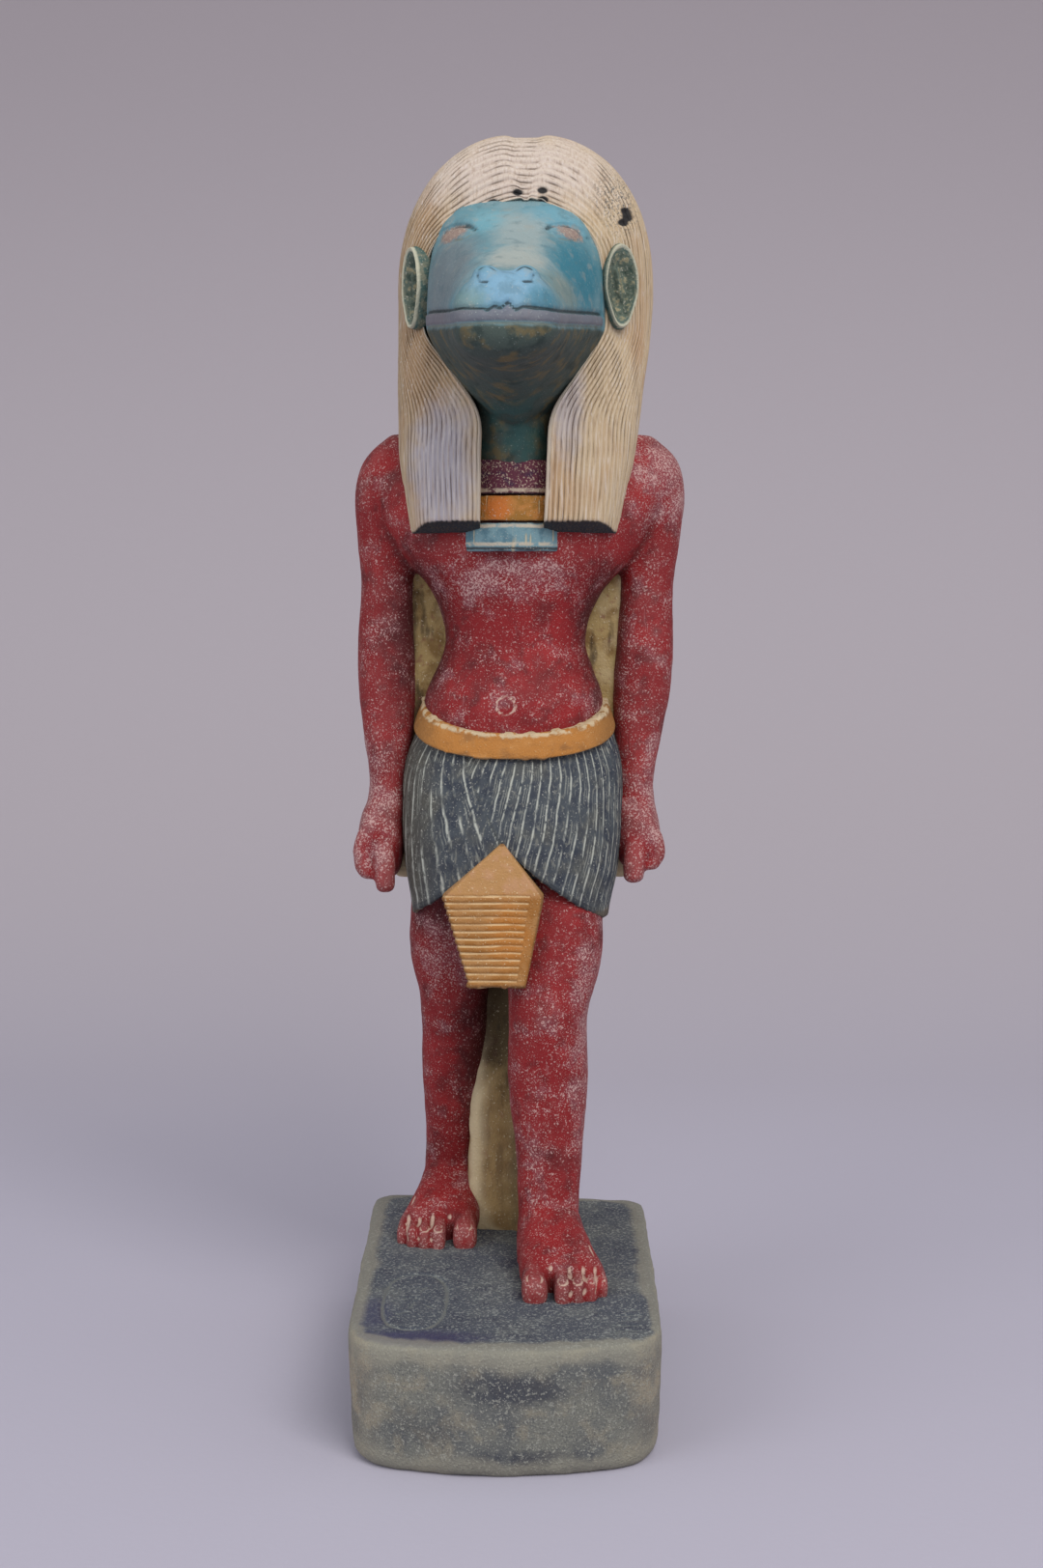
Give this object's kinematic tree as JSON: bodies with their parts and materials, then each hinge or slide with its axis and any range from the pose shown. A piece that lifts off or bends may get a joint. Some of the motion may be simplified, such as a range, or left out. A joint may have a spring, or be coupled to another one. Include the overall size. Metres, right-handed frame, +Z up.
{
  "type": "animal-headed standing statue",
  "caption": "Painted stone statue of a striding figure with a crocodile's head, a long striated wig, a collar, a pleated kilt with an apron, a back pillar and a thick base.",
  "frame": {"origin": "on the underside of the base, midway between its sides and 63 mm behind its front", "axes": "+Z up, the figure faces -Y, +X is on the right of a viewer who faces the figure"},
  "size_m": [0.0907, 0.1305, 0.3323],
  "materials": {
    "painted_stone": "matt paint, rubbed and dusty, over soft stone"
  },
  "bodies": {
    "root": {"statue": "painted_stone"}
  },
  "joints": []
}
